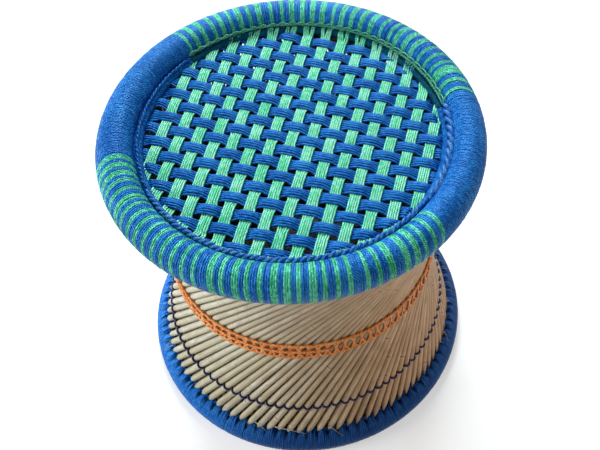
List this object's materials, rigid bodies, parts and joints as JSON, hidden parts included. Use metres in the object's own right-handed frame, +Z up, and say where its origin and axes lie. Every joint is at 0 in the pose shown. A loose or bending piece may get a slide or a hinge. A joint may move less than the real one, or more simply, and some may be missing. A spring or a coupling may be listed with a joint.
{
  "type": "mudda stool",
  "caption": "Round waisted stool of crossed reeds with a cord-wound rim and base ring and a flat seat woven from cord ribbons.",
  "frame": {"origin": "on the floor, at the middle of the base ring", "axes": "+Z up along the stool's axis; +Y away from the front, +X to the front viewer's right"},
  "size_m": [0.418, 0.418, 0.3908],
  "materials": {
    "reed": "dry natural reed, satin",
    "inner_reed": "dry natural reed, dull",
    "stuffing": "bundled dry grass",
    "cane": "bent cane",
    "blue_cord": "twisted synthetic cord, slight sheen",
    "navy_cord": "twisted synthetic cord, slight sheen",
    "green_cord": "twisted synthetic cord, slight sheen",
    "orange_cord": "twisted synthetic cord, slight sheen"
  },
  "bodies": {
    "root": {"outer_reeds_01": "reed", "outer_reeds_02": "reed", "outer_reeds_03": "reed", "outer_reeds_04": "reed", "outer_reeds_05": "reed", "outer_reeds_06": "reed", "outer_reeds_07": "reed", "outer_reeds_08": "reed", "outer_reeds_09": "reed", "outer_reeds_10": "reed", "outer_reeds_11": "reed", "outer_reeds_12": "reed", "outer_reeds_13": "reed", "outer_reeds_14": "reed", "outer_reeds_15": "reed", "outer_reeds_16": "reed", "outer_reeds_17": "reed", "outer_reeds_18": "reed", "outer_reeds_19": "reed", "outer_reeds_20": "reed", "outer_reeds_21": "reed", "outer_reeds_22": "reed", "outer_reeds_23": "reed", "outer_reeds_24": "reed", "inner_reeds_01": "inner_reed", "inner_reeds_02": "inner_reed", "inner_reeds_03": "inner_reed", "inner_reeds_04": "inner_reed", "inner_reeds_05": "inner_reed", "inner_reeds_06": "inner_reed", "inner_reeds_07": "inner_reed", "inner_reeds_08": "inner_reed", "inner_reeds_09": "inner_reed", "inner_reeds_10": "inner_reed", "inner_reeds_11": "inner_reed", "inner_reeds_12": "inner_reed", "inner_reeds_13": "inner_reed", "inner_reeds_14": "inner_reed", "inner_reeds_15": "inner_reed", "base_stuffing": "stuffing", "base_wrap": "navy_cord", "rim_stuffing": "stuffing", "rim_wrap_striped_front": "blue_cord", "green_winding_striped_front": "green_cord", "rim_wrap_blue_right": "blue_cord", "rim_wrap_striped_back": "blue_cord", "green_winding_striped_back": "green_cord", "rim_wrap_blue_left": "blue_cord", "seat_hoop": "cane", "seat_warp": "green_cord", "seat_weft": "blue_cord", "edge_cord_back": "green_cord", "edge_cord_front": "blue_cord", "band_cord_upper": "orange_cord", "band_cord_lower": "orange_cord", "band_lacing": "orange_cord", "foot_stitch": "navy_cord"}
  },
  "joints": []
}
